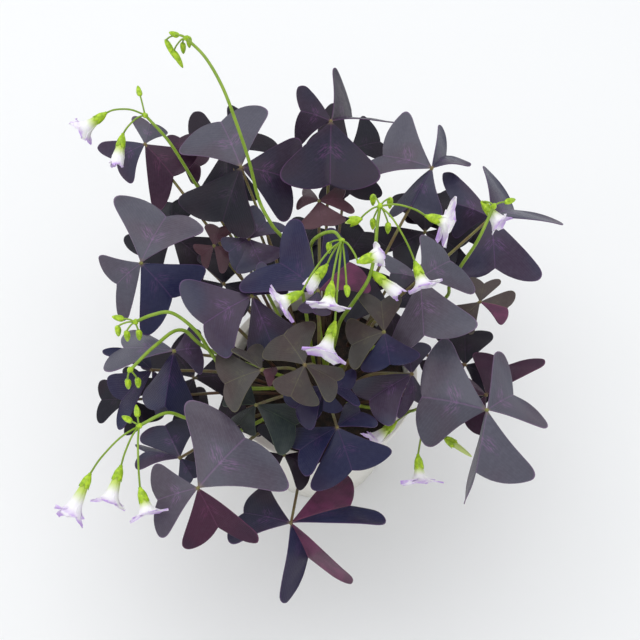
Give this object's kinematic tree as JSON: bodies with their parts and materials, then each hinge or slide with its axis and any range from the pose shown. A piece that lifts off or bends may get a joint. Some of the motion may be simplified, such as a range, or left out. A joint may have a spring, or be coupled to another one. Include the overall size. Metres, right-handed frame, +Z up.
{
  "type": "potted purple shamrock",
  "caption": "Purple shamrock plant in a plain round pot: dark folded three-part leaves on long petioles and pale funnel flowers on arching green stalks.",
  "frame": {"origin": "centre of the pot's flat base, on the surface that it stands on", "axes": "+Z up along the pot's axis; -Y towards the front of the plant, the side that the picture shows; +X to the right as seen from the front"},
  "size_m": [0.2927, 0.3312, 0.2716],
  "materials": {
    "corolla_back_left_a": "matt petals",
    "corolla_back_left_b": "matt petals",
    "corolla_far_right": "matt petals",
    "corolla_front_left_a": "matt petals",
    "corolla_front_left_b": "matt petals",
    "corolla_front_left_c": "matt petals",
    "corolla_front_right_a": "matt petals",
    "corolla_front_right_b": "matt petals",
    "corolla_mid_a": "matt petals",
    "corolla_mid_b": "matt petals",
    "corolla_mid_c": "matt petals",
    "corolla_mid_d": "matt petals",
    "corolla_mid_e": "matt petals",
    "corolla_right_a": "matt petals",
    "corolla_right_b": "matt petals",
    "corolla_right_c": "matt petals",
    "filler_back_a": "satin dark purple leaf",
    "filler_back_b": "satin dark purple leaf",
    "filler_left_a": "satin dark purple leaf",
    "filler_left_b": "satin dark purple leaf",
    "filler_right_a": "satin dark purple leaf",
    "leaf_back_centre": "satin dark purple leaf",
    "leaf_back_inner": "satin dark purple leaf",
    "leaf_back_left": "satin dark purple leaf",
    "leaf_back_mid": "satin dark purple leaf",
    "leaf_back_right": "satin dark purple leaf",
    "leaf_centre_dark": "satin dark purple leaf",
    "leaf_centre_left_low": "satin dark purple leaf",
    "leaf_front": "satin dark purple leaf",
    "leaf_front_left": "satin dark purple leaf",
    "leaf_front_mid": "satin dark purple leaf",
    "leaf_front_right": "satin dark purple leaf",
    "leaf_front_right_inner": "satin dark purple leaf",
    "leaf_left": "satin dark purple leaf",
    "leaf_left_front_under": "satin dark purple leaf",
    "leaf_left_under": "satin dark purple leaf",
    "leaf_mid": "satin dark purple leaf",
    "leaf_mid_left": "satin dark purple leaf",
    "leaf_mid_right": "satin dark purple leaf",
    "leaf_mid_small": "satin dark purple leaf",
    "leaf_olive_centre": "satin dark purple leaf",
    "leaf_olive_left": "satin dark purple leaf",
    "leaf_olive_small": "satin dark purple leaf",
    "leaf_right": "satin dark purple leaf",
    "leaf_right_low": "satin dark purple leaf",
    "leaf_right_small": "satin dark purple leaf",
    "leaf_small_brown": "satin dark purple leaf",
    "leaf_upper_left": "satin dark purple leaf",
    "leaf_young_left": "satin dark purple leaf",
    "pot": "satin off-white",
    "soil": "matt, crumbly potting soil",
    "spray_back": "satin green stalk",
    "spray_back_left": "satin green stalk",
    "spray_far_right": "satin green stalk",
    "spray_front_left": "satin green stalk",
    "spray_front_right": "satin green stalk",
    "spray_left": "satin green stalk",
    "spray_left_low": "satin green stalk",
    "spray_mid": "satin green stalk",
    "spray_right_inner": "satin green stalk"
  },
  "bodies": {
    "root": {"corolla_back_left_a": "corolla_back_left_a", "corolla_back_left_b": "corolla_back_left_b", "corolla_far_right": "corolla_far_right", "corolla_front_left_a": "corolla_front_left_a", "corolla_front_left_b": "corolla_front_left_b", "corolla_front_left_c": "corolla_front_left_c", "corolla_front_right_a": "corolla_front_right_a", "corolla_front_right_b": "corolla_front_right_b", "corolla_mid_a": "corolla_mid_a", "corolla_mid_b": "corolla_mid_b", "corolla_mid_c": "corolla_mid_c", "corolla_mid_d": "corolla_mid_d", "corolla_mid_e": "corolla_mid_e", "corolla_right_a": "corolla_right_a", "corolla_right_b": "corolla_right_b", "corolla_right_c": "corolla_right_c", "filler_back_a": "filler_back_a", "filler_back_b": "filler_back_b", "filler_left_a": "filler_left_a", "filler_left_b": "filler_left_b", "filler_right_a": "filler_right_a", "leaf_back_centre": "leaf_back_centre", "leaf_back_inner": "leaf_back_inner", "leaf_back_left": "leaf_back_left", "leaf_back_mid": "leaf_back_mid", "leaf_back_right": "leaf_back_right", "leaf_centre_dark": "leaf_centre_dark", "leaf_centre_left_low": "leaf_centre_left_low", "leaf_front": "leaf_front", "leaf_front_left": "leaf_front_left", "leaf_front_mid": "leaf_front_mid", "leaf_front_right": "leaf_front_right", "leaf_front_right_inner": "leaf_front_right_inner", "leaf_left": "leaf_left", "leaf_left_front_under": "leaf_left_front_under", "leaf_left_under": "leaf_left_under", "leaf_mid": "leaf_mid", "leaf_mid_left": "leaf_mid_left", "leaf_mid_right": "leaf_mid_right", "leaf_mid_small": "leaf_mid_small", "leaf_olive_centre": "leaf_olive_centre", "leaf_olive_left": "leaf_olive_left", "leaf_olive_small": "leaf_olive_small", "leaf_right": "leaf_right", "leaf_right_low": "leaf_right_low", "leaf_right_small": "leaf_right_small", "leaf_small_brown": "leaf_small_brown", "leaf_upper_left": "leaf_upper_left", "leaf_young_left": "leaf_young_left", "pot": "pot", "soil": "soil", "spray_back": "spray_back", "spray_back_left": "spray_back_left", "spray_far_right": "spray_far_right", "spray_front_left": "spray_front_left", "spray_front_right": "spray_front_right", "spray_left": "spray_left", "spray_left_low": "spray_left_low", "spray_mid": "spray_mid", "spray_right_inner": "spray_right_inner"}
  },
  "joints": []
}
